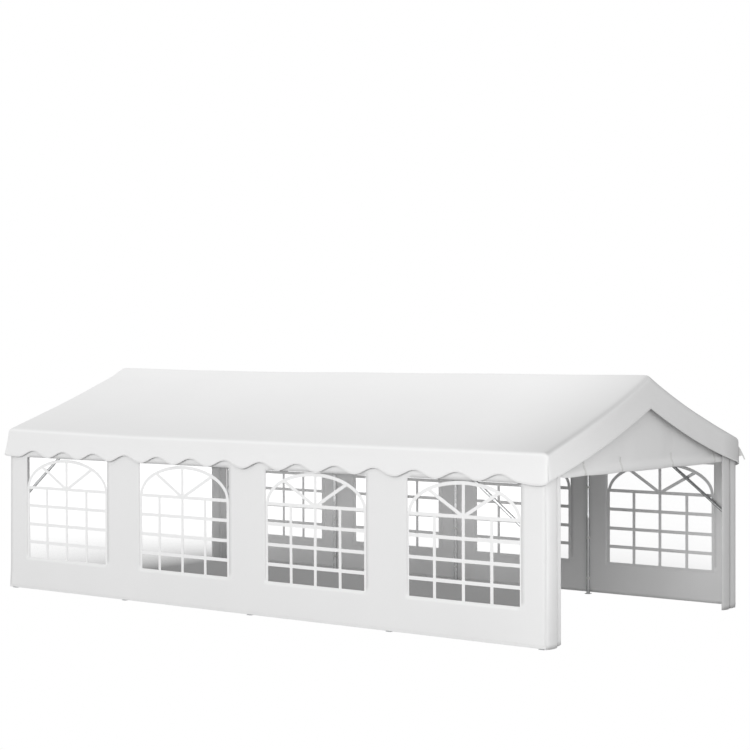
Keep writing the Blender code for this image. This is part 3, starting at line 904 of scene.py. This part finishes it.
def makeRoofSkin():
    half = skinSection()
    section = [(-y, z) for y, z in reversed(half[1:])] + half
    xs = evenRun(skin["topRear"], skin["topFront"], skin["stepX"])
    along = [0.0]
    for (y0, z0), (y1, z1) in zip(section, section[1:]):
        along.append(along[-1] + math.hypot(y1 - y0, z1 - z0))
    points = [skinPoint(x, y, z) for x in xs for y, z in section]
    uvs = [(x, a - along[-1] / 2) for x in xs for a in along]
    rows = len(section)
    faces = gridFaces(len(xs), rows, True)

    # the rim of the top in order, each with the way that it faces
    quarter = math.pi / 2
    last = len(points) - rows
    edges = (range(0, last + 1, rows), range(last, last + rows), range(last + rows - 1, 0, -rows),
             range(rows - 1, -1, -1))
    rim = []
    for turn, edge in enumerate(edges, -1):
        rim += [(index, turn * quarter) for index in edge]
        rim += [(edge[-1], turn * quarter + quarter * k / skin["cornerSteps"])
                for k in range(1, skin["cornerSteps"])]
    distances = [0.0]
    for (before, _), (after, _) in zip(rim, rim[1:]):
        distances.append(distances[-1] + max((points[after] - points[before]).length, 0.008))

    rings = [[index for index, _ in rim]]
    for m in range(1, skin["foldSteps"] + skin["skirtSteps"] + 1):
        rings.append(list(range(len(points), len(points) + len(rim))))
        for (index, facing), s in zip(rim, distances):
            points.append(skirtPoint(points[index], facing, m))
            uvs.append((s, points[index].z - points[-1].z))
    for inner, outer in zip(rings, rings[1:]):
        for k in range(len(rim)):
            after = (k + 1) % len(rim)
            corners = (inner[k], outer[k], outer[after], inner[after])
            faces.append(corners[:3] if inner[k] == inner[after] else corners)
    piece, area = makeSheet(
        "roof_skin", points, faces, uvs, ["roofCloth", "shadedInnerCloth"], skin["thickness"], -1.0, "roof_cloth",
        "roof_cover", "valance_left", "valance_right", "gable_flap_front", "gable_flap_rear", even=False)
    faced = [Vector((math.cos(facing), math.sin(facing), 0.0)) for _, facing in rim]
    return piece, [[points[k].copy() for k in ring] for ring in rings[-2:]], faced


roofSkin, hemRings, hemFacings = makeRoofSkin()
stitching = {"Spacing": 0.010, "Stitch": 0.006, "Thread": 0.0007}


def makeHem(name, height, tree, material, lift, **sizes):
    # a run along the whole hem, a set height above its edge
    path = []
    for above, edge, facing in zip(*hemRings, hemFacings):
        rise = max(0.004, (above - edge).length)
        path.append((edge.lerp(above, height / rise) + facing * lift, tuple(facing), 1.0))
    settle(growPiece(name, tree, [path], material, closed=True, **sizes), "roof_cloth")


makeHem("roof_hem", 0.0065, tapeTree, "hemTape", 0.0004, Width=0.016, Thickness=0.0012)
makeHem("roof_hem_stitches", 0.0115, stitchTree, "hemThread", 0.0012, **stitching)
print("roof skin made:", len(roofSkin.data.vertices), "points")


# Side walls: hung sheets with a window in each bay, swelling a little between the posts
wall = {
    "face": 0.0228, "rear": -4.026, "front": {"left": 4.012, "right": 3.997}, "bay": 2.0,
    "bottom": {"left": 0.007, "right": 0.022}, "top": 1.930,
    "rearLean": (-0.002, 0.020, 0.020), "leanHeights": (1.67, 0.35), "leanFrom": -3.74,
    "thickness": 0.0012, "cell": 0.05, "swell": 0.007, "creases": 0.0035, "footWaves": 0.0030,
    "sill": 0.400, "windowTop": {"left": 1.638, "right": 1.625}, "windowHalf": 0.719,
    "hemMiddle": 0.016, "hemWidth": 0.030, "hemThickness": 0.0009, "stitchHeights": (0.005, 0.028),
}
bayCentres = {"left": (3.0, 1.0, -1.0, -3.0), "right": (3.0, 1.03, -0.96, -2.94)}


def wallFace(side, x, z):
    # how far the wall stands from the middle of the tent
    bay = clamp(math.floor(x / wall["bay"]), -2, 1)
    lean = ripple(bay, side, 0.0, 1.7, 4.0) * 2.0
    across = math.sin(math.pi * shareOf(x, wall["bay"] * bay, wall["bay"] * (bay + 1)))
    up = math.sin(math.pi * shareOf(z, 0.0, wall["top"])) ** 0.7
    out = wall["swell"] * clamp(0.35 + lean, -0.6, 1.0) * across * up
    out += wall["creases"] * across * ripple(x, side * 3.0, z * 0.35, 0.38, 7.0)
    out += wall["footWaves"] * across * shareOf(z, 0.5, 0.0) * math.sin(9.0 * x + 2.0 * side)
    return side * (legAxis + wall["face"] + max(out, -0.010 * across))


def wallPlace(side, x, z):
    # the rear edge leans out towards its foot
    straight, drift, foot = wall["rearLean"]
    high, low = (shareOf(z, height, 0.0) for height in wall["leanHeights"])
    lean = straight + drift * high + foot * low * low
    return x - shareOf(x, wall["leanFrom"], wall["rear"]) * lean, wallFace(side, x, z), z


def makeWall(sideName, side):
    w = wall
    bottom, front, head = w["bottom"][sideName], w["front"][sideName], w["windowTop"][sideName]
    marks = [w["rear"]]
    for centre in sorted(bayCentres[sideName]):
        marks += [centre - w["windowHalf"], centre + w["windowHalf"]]
    xs = cutRun(marks + [front], w["cell"])
    zs = cutRun([bottom, bottom + 0.04, w["sill"], head, w["top"]], w["cell"])

    def isCloth(i, j):
        midX, midZ = (xs[i] + xs[i + 1]) / 2, (zs[j] + zs[j + 1]) / 2
        beside = all(abs(midX - centre) >= w["windowHalf"] for centre in bayCentres[sideName])
        return beside or not w["sill"] < midZ < head

    points = [wallPlace(side, x, z) for x in xs for z in zs]
    uvs = [(x, z) for x in xs for z in zs]
    faces = gridFaces(len(xs), len(zs), side < 0, isCloth)
    piece, area = makeSheet(f"wall_{sideName}", points, faces, uvs, ["wallCloth"], w["thickness"], 1.0,
                            "wall_cloth", f"side_wall_{sideName}")

    def hemRow(height, lift):
        proud = Vector((0.0, side * (w["thickness"] + 0.0002), 0.0)) * lift
        return [(Vector(wallPlace(side, x, bottom + height)) + proud, (0.0, side, 0.0), 1.0) for x in xs]

    settle(growPiece(f"wall_hem_{sideName}", tapeTree, [hemRow(w["hemMiddle"], 1.0)], "hemTape",
                     Width=w["hemWidth"], Thickness=w["hemThickness"]), "wall_cloth")
    rows = [hemRow(height, 1.43) for height in w["stitchHeights"]]
    settle(growPiece(f"wall_hem_stitches_{sideName}", stitchTree, rows, "hemThread", **stitching),
           "wall_cloth")


for sideName, side in sides.items():
    makeWall(sideName, side)
print("side walls made")


# Windows: clear film with welded bars, a round head over three rows of panes and their sill row
window = {
    "filmMargin": 0.012, "filmThickness": 0.0006, "filmSink": 0.0008, "cell": 0.05, "barWidth": 0.038,
    "halfWidth": 0.696, "spring": 1.266, "archTop": 1.611, "rows": (0.593, 0.813, 1.0415),
    "rayReach": (0.44, 1.522), "barEnd": 0.03, "sillDrop": 0.016,
    "barThickness": (0.0016, 0.0022, 0.0019, 0.0026),     # level bars, uprights, rays, arch
    "uprights": {
        "left": ((-0.368, 0.005, 0.360), (-0.347, 0.005, 0.357), (-0.396, -0.022, 0.342),
                 (-0.356, 0.0, 0.353)),
        "right": ((-0.354, 0.001, 0.362), (-0.356, 0.003, 0.362), (-0.379, -0.020, 0.339),
                  (-0.359, 0.0, 0.359)),
    },
    "sideBars": {"left": (0.025, 0.014, 0.010, 0.006), "right": (0.012, 0.012, 0.012, 0.012)},
    "archLean": {"left": 0.0, "right": 0.030},
}


def makeWindow(sideName, side, number, centre):
    w = window
    wide = wall["windowHalf"] + w["filmMargin"]
    xs = evenRun(centre - wide, centre + wide, w["cell"])
    zs = evenRun(wall["sill"] - w["filmMargin"], wall["windowTop"][sideName] + w["filmMargin"], w["cell"])

    def onFilm(x, z):
        return x, wallFace(side, x, z) - side * w["filmSink"], z

    points = [onFilm(x, z) for x in xs for z in zs]
    faces = gridFaces(len(xs), len(zs), side < 0)
    pane, _ = makeSheet(f"film_{sideName}_{number}", points, faces, None, ["clearFilm"], w["filmThickness"],
                        0.0, "window_film", f"window_{sideName}_{number}")

    def strip(*points):
        run = []
        for (x0, z0), (x1, z1) in zip(points, points[1:]):
            steps = max(1, int(math.hypot(x1 - x0, z1 - z0) / w["cell"]))
            run += [(x0 + (x1 - x0) * k / steps, z0 + (z1 - z0) * k / steps) for k in range(steps)]
        run.append(points[-1])
        return [(onFilm(centre + x, z), (0.0, side, 0.0), 1.0) for x, z in run]

    half, spring, sill = w["halfWidth"], w["spring"], wall["sill"]
    end = half + w["barEnd"]
    across = [strip((-end, z), (end, z)) for z in (*w["rows"], spring, sill - w["sillDrop"])]
    first, middle, last = w["uprights"][sideName][number - 1]
    edge = half + w["sideBars"][sideName][number - 1]
    upright = [strip((x, sill), (x, spring)) for x in (-edge, first, last, edge)]
    upright.append(strip((middle, sill), (middle, w["archTop"])))
    lean = w["archLean"][sideName]
    rays = [strip((middle, spring), (s * w["rayReach"][0] + lean, w["rayReach"][1])) for s in (-1, 1)]
    rise = w["archTop"] - spring
    arch = [(half * math.cos(math.pi * k / 40) + lean * math.sin(math.pi * k / 40),
             spring + rise * math.sin(math.pi * k / 40)) for k in range(41)]
    layers = zip((across, upright, rays, [strip(*arch)]), w["barThickness"])
    bars = joinPieces(*[growPiece(f"bars_{sideName}_{number}_{k}", tapeTree, paths, "windowBar",
                                  Width=w["barWidth"], Thickness=thick)
                        for k, (paths, thick) in enumerate(layers)])
    bars.name = f"bars_{sideName}_{number}"
    settle(bars, "wall_cloth")


for sideName, side in sides.items():
    for number, centre in enumerate(bayCentres[sideName], 1):
        makeWindow(sideName, side, number, centre)
print("windows made")


# Gable header: the fixed cloth above the doorway, drawn in a little at each tie
header = {
    "face": 3.9806, "halfWidth": 1.9415, "cell": 0.035, "rows": 22, "thickness": 0.0012,
    "under": 0.006, "hem": 0.030, "ties": (-1.22, -0.517, 0.52, 1.44), "clearance": 0.0022, "bulge": 0.088,
    "belly": 0.012, "creases": 0.0022, "ripples": 0.0030,
}
roll = {
    "height": 1.715, "ends": (-1.648, 1.622), "radius": 0.0275, "core": 0.004, "turns": 4.0, "stepY": 0.03,
    "stepsTurn": 14, "taper": 0.035, "tip": 0.45, "thickness": 0.0010, "sag": 0.006, "out": 0.0015,
    "endZone": 0.012,
}


def tieDraw(y, width):
    return max(math.exp(-((y - t) / width) ** 2) for t in header["ties"])


def rollLeft(y):
    # how far along the roll is from its nearer end
    low, high = roll["ends"]
    return min(y - low, high - y)


def rollRadius(y):
    r = roll
    left = shareOf(rollLeft(y), 0.0, r["taper"])
    swell = 1.0 - 0.10 * tieDraw(y, 0.05) + 0.05 * ripple(y, 0.0, 0.0, 0.25, 6.0)
    return (r["tip"] + (1 - r["tip"]) * math.sin(math.pi / 2 * left) ** 0.8) * swell


def rollHeight(y):
    return roll["height"] - roll["sag"] * (1 - tieDraw(y, 0.18)) * shareOf(rollLeft(y), 0.0, 0.3)


def headerOut(y, z):
    # the header falls straight, then over the front of the roll
    h = header
    low = shareOf(tubeLine(y) - z, 0.0, 0.5)
    belly = h["belly"] * (1.0 - tieDraw(y, 0.16)) * low
    belly += h["ripples"] * ripple(y, 0.0, z * 0.4, 0.20, 2.0) * low
    crease = h["creases"] * math.sin(y * 46.0 + 1.3 * math.sin(z * 9.0)) * tieDraw(y, 0.10) * low
    above = z - rollHeight(y)
    near = shareOf(above, h["bulge"], 0.0)
    reach = roll["radius"] * 1.04 * rollRadius(y) + h["clearance"]
    reach *= shareOf(rollLeft(y), -0.01, 0.01)
    out = reach * near * near * (3 - 2 * near)
    if above < 0:
        out = math.sqrt(max(reach * reach - 0.36 * above * above, 0.0))
    return max(0.0, (belly + crease) * (1 - near) + out)


def makeHeader(endName, end):
    h = header
    marks = [rollEnd + away for rollEnd in roll["ends"] for away in (-roll["endZone"], roll["endZone"])]
    ys = cutRun([-h["halfWidth"], *marks, h["halfWidth"]], h["cell"])
    points, uvs = [], []
    for y in ys:
        top = tubeLine(y) + h["under"]
        foot = rollHeight(y) - h["hem"] * max(0.8, rollRadius(y))
        for j in range(h["rows"] + 1):
            z = foot + (top - foot) * (j / h["rows"]) ** 1.7
            points.append((end * (h["face"] + headerOut(y, z)), y, z))
            uvs.append((y, z))
    faces = gridFaces(len(ys), h["rows"] + 1, end > 0)
    piece, area = makeSheet(f"door_header_{endName}", points, faces, uvs, ["flapCloth"], h["thickness"], 1.0,
                            "flap_cloth", f"gable_header_{endName}")


def makeDoorRoll(endName, end):
    # the door panels rolled up: a spiral of cloth along the header's lower edge
    r = roll
    low, high = r["ends"]
    ys = cutRun([low, low + r["taper"], high - r["taper"], high], r["stepY"])
    steps = int(r["turns"] * r["stepsTurn"])
    middle = header["face"] + r["out"]
    points, uvs = [], []
    for y in ys:
        shape = rollRadius(y)
        run = 0.0
        for k in range(steps + 1):
            share = k / steps
            radius = (r["core"] + (r["radius"] - r["core"]) * share) * shape
            a = math.tau * r["turns"] * share - math.tau * (r["turns"] - 0.25)
            wave = 1.0 + 0.04 * ripple(y, share * 4.0, 0.0, 0.16, 8.0)
            points.append((end * (middle + radius * wave * math.cos(a)), y,
                           rollHeight(y) + 1.06 * radius * wave * math.sin(a)))
            uvs.append((y, run))
            run += radius * math.tau / r["stepsTurn"]
    faces = gridFaces(len(ys), steps + 1, end > 0)
    piece, area = makeSheet(f"rolled_door_{endName}", points, faces, uvs, ["flapCloth"], r["thickness"], -1.0,
                            "flap_cloth", f"door_roll_{endName}")


tie = {
    "heights": (1.842, 1.820, 1.802, 1.788, 1.776, 1.765, 1.755, 1.746, 1.738, 1.730, 1.722),
    "patchHeights": (1.846, 1.814), "proud": 0.0012, "slack": 0.0032, "roundTo": 242.0, "steps": 12,
    "width": 0.026, "thickness": 0.0044, "patchWidth": 0.046, "patchThickness": 0.0012,
}


def makeDoorTies(endName, end):
    # each strap comes down the header's face, goes under the roll and up again behind it
    middle = header["face"] + roll["out"]
    face = header["face"] + header["thickness"] + tie["proud"]
    paths, patches = [], []
    for y in header["ties"]:
        reach = roll["radius"] * 1.06 * rollRadius(y) + header["clearance"] + tie["slack"]

        def downFace(heights, lift):
            return [((end * (face + headerOut(y, z) + lift), y, z), (end, 0.0, 0.0), 1.0) for z in heights]

        path = downFace(tie["heights"], 0.0006)
        for k in range(tie["steps"] + 1):
            a = -math.radians(tie["roundTo"]) * k / tie["steps"]
            path.append(((end * (middle + reach * math.cos(a)), y, roll["height"] + reach * math.sin(a)),
                         (end * math.cos(a), 0.0, math.sin(a)), 1.0))
        paths.append(path)
        patches.append(downFace(tie["patchHeights"], 0.0016))
    ties = growPiece(f"door_ties_{endName}", tapeTree, paths, "strapWebbing", Width=tie["width"],
                     Thickness=tie["thickness"])
    patch = growPiece("patches", tapeTree, patches, "hemTape", Width=tie["patchWidth"],
                      Thickness=tie["patchThickness"])
    settle(joinPieces(ties, patch), "flap_cloth")


# Door curtains: each half door is gathered to the corner post in two counter-rolled folds
curtain = {
    "bottom": 0.002, "top": 1.900, "rows": 40, "thickness": 0.0011, "middle": 3.9979,
    "folds": {"left": ((1.7350, 1.9505), (1.6680, 1.7330)), "right": ((1.8020, 1.9130), (1.6200, 1.7840))},
    "depth": {"left": (0.0200, 0.0160), "right": (0.0200, 0.0200)},
    "fullness": {"left": (1.00, 0.40), "right": (0.50, 0.30)},     # how much deeper the folds are lower down
    "skew": (0.20, 0.0),                                           # how far a fold's crest lies outwards
    "groove": {"left": 0.004, "right": 0.024}, "grooveSteps": 8,
    "turns": 2.3, "stepsTurn": 26, "closing": 0.0052,
    "roundness": {"left": 0.034, "right": -0.024},                 # how far one edge hangs short of the other
    "pinch": 0.06, "fullHeights": (1.66, 1.41), "wave": 0.0020,
}


def foldedPath(sideName):
    # (distance from the middle, distance out, middle of the fold, fullness) along the cloth
    c = curtain
    count = int(c["turns"] * c["stepsTurn"])
    folds = c["folds"][sideName]
    halves = []
    for (low, high), depth, fullness, skew, start, direction in zip(
            folds, c["depth"][sideName], c["fullness"][sideName], c["skew"], (math.pi, 0.0), (-1, 1)):
        centre, half = (low + high) / 2, (high - low) / 2
        fold = []
        for k in range(count + 1):
            turned = math.tau * k / c["stepsTurn"]
            a = start + direction * turned
            shrink = c["closing"] * turned / math.tau
            wide, deep = half - shrink * 1.6, depth - shrink
            across = math.copysign(abs(math.cos(a)) ** 0.9, math.cos(a))
            u = centre + wide * (across + skew * (1 - across * across))
            fold.append((u, deep * math.sin(a), centre, fullness))
        halves.append(fold)
    outer, inner = folds[0][0], folds[1][1]
    groove = []
    for k in range(1, c["grooveSteps"]):
        u = outer + (inner - outer) * k / c["grooveSteps"]
        deep = c["groove"][sideName] * math.sin(math.pi * k / c["grooveSteps"]) ** 0.6
        groove.append((u, -deep, u, 0.0))
    return list(reversed(halves[0])) + groove + halves[1]


def makeCurtain(endName, end, sideName, side):
    c = curtain
    path = foldedPath(sideName)
    points, uvs = [], []
    run = [0.0]
    for (u0, d0, *_), (u1, d1, *_) in zip(path, path[1:]):
        run.append(run[-1] + math.hypot(u1 - u0, d1 - d0))
    outerEdge, innerEdge = c["folds"][sideName][0][1], c["folds"][sideName][1][0]
    rounding = c["roundness"][sideName]
    for j in range(c["rows"] + 1):
        v = j / c["rows"]
        for (u, d, centre, fullness), s in zip(path, run):
            inwards = shareOf(u, outerEdge, innerEdge)
            short = inwards if rounding > 0 else 1.0 - inwards
            foot = c["bottom"] + abs(rounding) * shareOf(short, 0.5, 1.0) ** 2
            z = foot + (c["top"] - foot) * v
            pinch = 1.0 - c["pinch"] * math.sin(math.pi * v) ** 2
            lower = shareOf(z, *c["fullHeights"])
            full = 1.0 + fullness * lower * max(0.0, math.copysign(1.0, d))
            sway = ripple(side * 2.0, end * 3.0 + centre, z * 0.5, 0.22, 1.0)
            wave = c["wave"] * sway * math.sin(math.pi * v)
            points.append((end * (c["middle"] + d * full), side * (centre + (u - centre) * pinch + wave), z))
            uvs.append((s, z))
    faces = gridFaces(c["rows"] + 1, len(path), end * side > 0)
    piece, area = makeSheet(
        f"gathered_door_{endName}_{sideName}", points, faces, uvs, ["flapCloth"], c["thickness"], 0.0,
        "flap_cloth", f"door_curtain_{endName}_{sideName}")


for endName, end in ends.items():
    makeHeader(endName, end)
    makeDoorRoll(endName, end)
    makeDoorTies(endName, end)
    for sideName, side in sides.items():
        makeCurtain(endName, end, sideName, side)
print("gable cloth made")


# Corner strap tails and the bands that hold the walls to the posts
tail = {
    "startX": 4.016, "startY": 1.960, "top": 1.856, "thickness": 0.0012, "steps": 12,
    "strands": ((0.064, 0.048, 0.150, 0.015), (0.026, 0.017, 0.100, 0.034)),     # outwards, down, width
}
band = {"heights": (0.19, 0.68, 1.29), "radius": 0.0206, "width": 0.026, "thickness": 0.0016, "steps": 24}
knot = {"Head": 0.0065, "Height": 0.011, "Washer": 0.0085, "Corners": 10}


def makeTail(endName, end, sideName, side, number, reach):
    t = tail
    outX, outY, drop, width = reach
    run = []
    for k in range(t["steps"] + 1):
        s = k / t["steps"]
        away = 1 - (1 - s) ** 1.15
        z = t["top"] - 0.012 * number - drop * s ** 1.2 + 0.003 * math.sin(6.0 * s + number)
        run.append(Vector((end * (t["startX"] + outX * away), side * (t["startY"] + outY * away), z)))
    across = Vector((0.77 * end, 0.64 * side, 0.0))
    path = []
    for k, place in enumerate(run):
        along = (run[min(k + 1, t["steps"])] - run[max(k - 1, 0)]).normalized()
        path.append((place, tuple(along.cross(across).normalized()), 1.0))
    piece = growPiece(f"tail_{endName}_{sideName}_{number}", tapeTree, [path], "strapWebbing", Width=width,
                      Thickness=t["thickness"])
    settle(piece, "roof_cloth")


def makeBands(sideName, side):
    facing = Vector((-0.6, -0.8 * side, 0.0))
    turns = [math.tau * k / band["steps"] for k in range(band["steps"])]
    ring = [(math.cos(a), math.sin(a), 0.0) for a in turns]
    loops, knobs = [], []
    for x in frameStations:
        for z in band["heights"]:
            middle = Vector((x, side * legAxis, z))
            loops.append([(middle + band["radius"] * Vector(way), way, 1.0) for way in ring])
            knobs.append((middle + facing * (band["radius"] + 0.002), facing, 1.0))
    bands = growPiece(f"wall_bands_{sideName}", tapeTree, loops, "strapWebbing", closed=True,
                      Width=band["width"], Thickness=band["thickness"])
    knots = growPiece("knots", boltTree, [knobs], "strapWebbing", chained=False, **knot)
    settle(joinPieces(bands, knots), "wall_cloth")


for endName, end in ends.items():
    for number, reach in enumerate(tail["strands"], 1):
        makeTail(endName, end, "right", 1, number, reach)
for sideName, side in sides.items():
    makeBands(sideName, side)
print("straps made")


# Studio: white surround, one broad soft lamp from the left, two small lamps by the doorway, and a floor that
# is white to the camera. Seen through a window's film, or mirrored, it shows a painted shadow inside the tent
# that pales away from it.
studio = {
    "lamps": {
        "key": {"place": (6.0, -38.0, 16.0), "aim": (3.0, 0.0, 1.2), "size": 20.0, "power": 5500.0},
        "fill": {"place": (5.6, -2.05, 1.35), "aim": (4.0, -1.7, 1.0), "size": 2.0, "power": 8.8},
        "glow": {"place": (3.52, 0.85, 0.90), "aim": (3.45, 1.95, 0.95), "size": 1.0, "power": 2.1},
    },
    "floorHalf": 60.0,
    "floorDrop": 0.0005,
    "floorTone": 0.47,
    "footprint": (4.0, 1.96),
    "shadedTone": 0.225,
    "fading": 1.5,
    "surround": 0.78,
}


def makeFloorMaterial(s):
    material = bpy.data.materials.new("paleFloor")
    material.use_nodes = True
    tree = material.node_tree
    tree.nodes.clear()
    split = splitVector(tree, tree.nodes.new("ShaderNodeTexCoord").outputs["Object"])
    beyond = []
    for axis, limit in enumerate(s["footprint"]):
        across = mathNode(tree, "ABSOLUTE", split[axis])
        past = mathNode(tree, "MAXIMUM", mathNode(tree, "SUBTRACT", across, limit), 0.0)
        beyond.append(mathNode(tree, "POWER", past, 2.0))
    away = mathNode(tree, "SQRT", mathNode(tree, "ADD", *beyond))
    # painted shadow of the tent: full over its footprint, fading with the distance beyond it
    shade = mathNode(tree, "EXPONENT", mathNode(tree, "MULTIPLY", away, -1.0 / s["fading"]))
    shade = mathNode(tree, "MULTIPLY", shade, 1.0 - s["shadedTone"])
    path = tree.nodes.new("ShaderNodeLightPath").outputs
    film = mathNode(tree, "GREATER_THAN", path["Transparent Depth"], 0.5)
    film = mathNode(tree, "MAXIMUM", film, path["Is Glossy Ray"])
    behindFilm = mathNode(tree, "MULTIPLY", film, mathNode(tree, "SUBTRACT", 1.0, shade))
    strength = mathNode(tree, "ADD", mathNode(tree, "SUBTRACT", 1.0, film), behindFilm)
    seen = addNode(tree, "ShaderNodeEmission", Strength=strength)
    lit = addNode(tree, "ShaderNodeBsdfDiffuse", Color=(s["floorTone"], s["floorTone"], s["floorTone"], 1.0))
    shown = mathNode(tree, "MAXIMUM", path["Is Camera Ray"], path["Is Glossy Ray"])
    addNode(tree, "ShaderNodeOutputMaterial", Surface=mixShaders(tree, shown, lit, seen))
    return material


def makeStudio(s):
    half = s["floorHalf"]
    mesh = bpy.data.meshes.new("floor")
    mesh.from_pydata([(-half, -half, 0), (half, -half, 0), (half, half, 0), (-half, half, 0)], [],
                     [(0, 1, 2, 3)])
    mesh.materials.append(makeFloorMaterial(s))
    floor = addObject("floor", mesh)
    floor.location.z = -s["floorDrop"]

    world = bpy.data.worlds.new("studio")
    world.use_nodes = True
    bpy.context.scene.world = world
    tree = world.node_tree
    tree.nodes.clear()
    light, backdrop = (addNode(tree, "ShaderNodeBackground", Strength=strength, Color=(1.0, 1.0, 1.0, 1.0))
                       for strength in (s["surround"], 1.0))
    seen = tree.nodes.new("ShaderNodeLightPath").outputs["Is Camera Ray"]
    addNode(tree, "ShaderNodeOutputWorld", Surface=mixShaders(tree, seen, light, backdrop))

    for name, given in s["lamps"].items():
        lamp = bpy.data.lights.new(f"{name}Lamp", "AREA")
        lamp.shape = "DISK"
        lamp.size = given["size"]
        lamp.energy = given["power"]
        holder = addObject(f"{name}Lamp", lamp)
        holder.location = given["place"]
        way = Vector(given["aim"]) - holder.location
        holder.rotation_euler = way.to_track_quat("-Z", "Y").to_euler()
        holder.visible_camera = False


makeStudio(studio)
print("studio made")
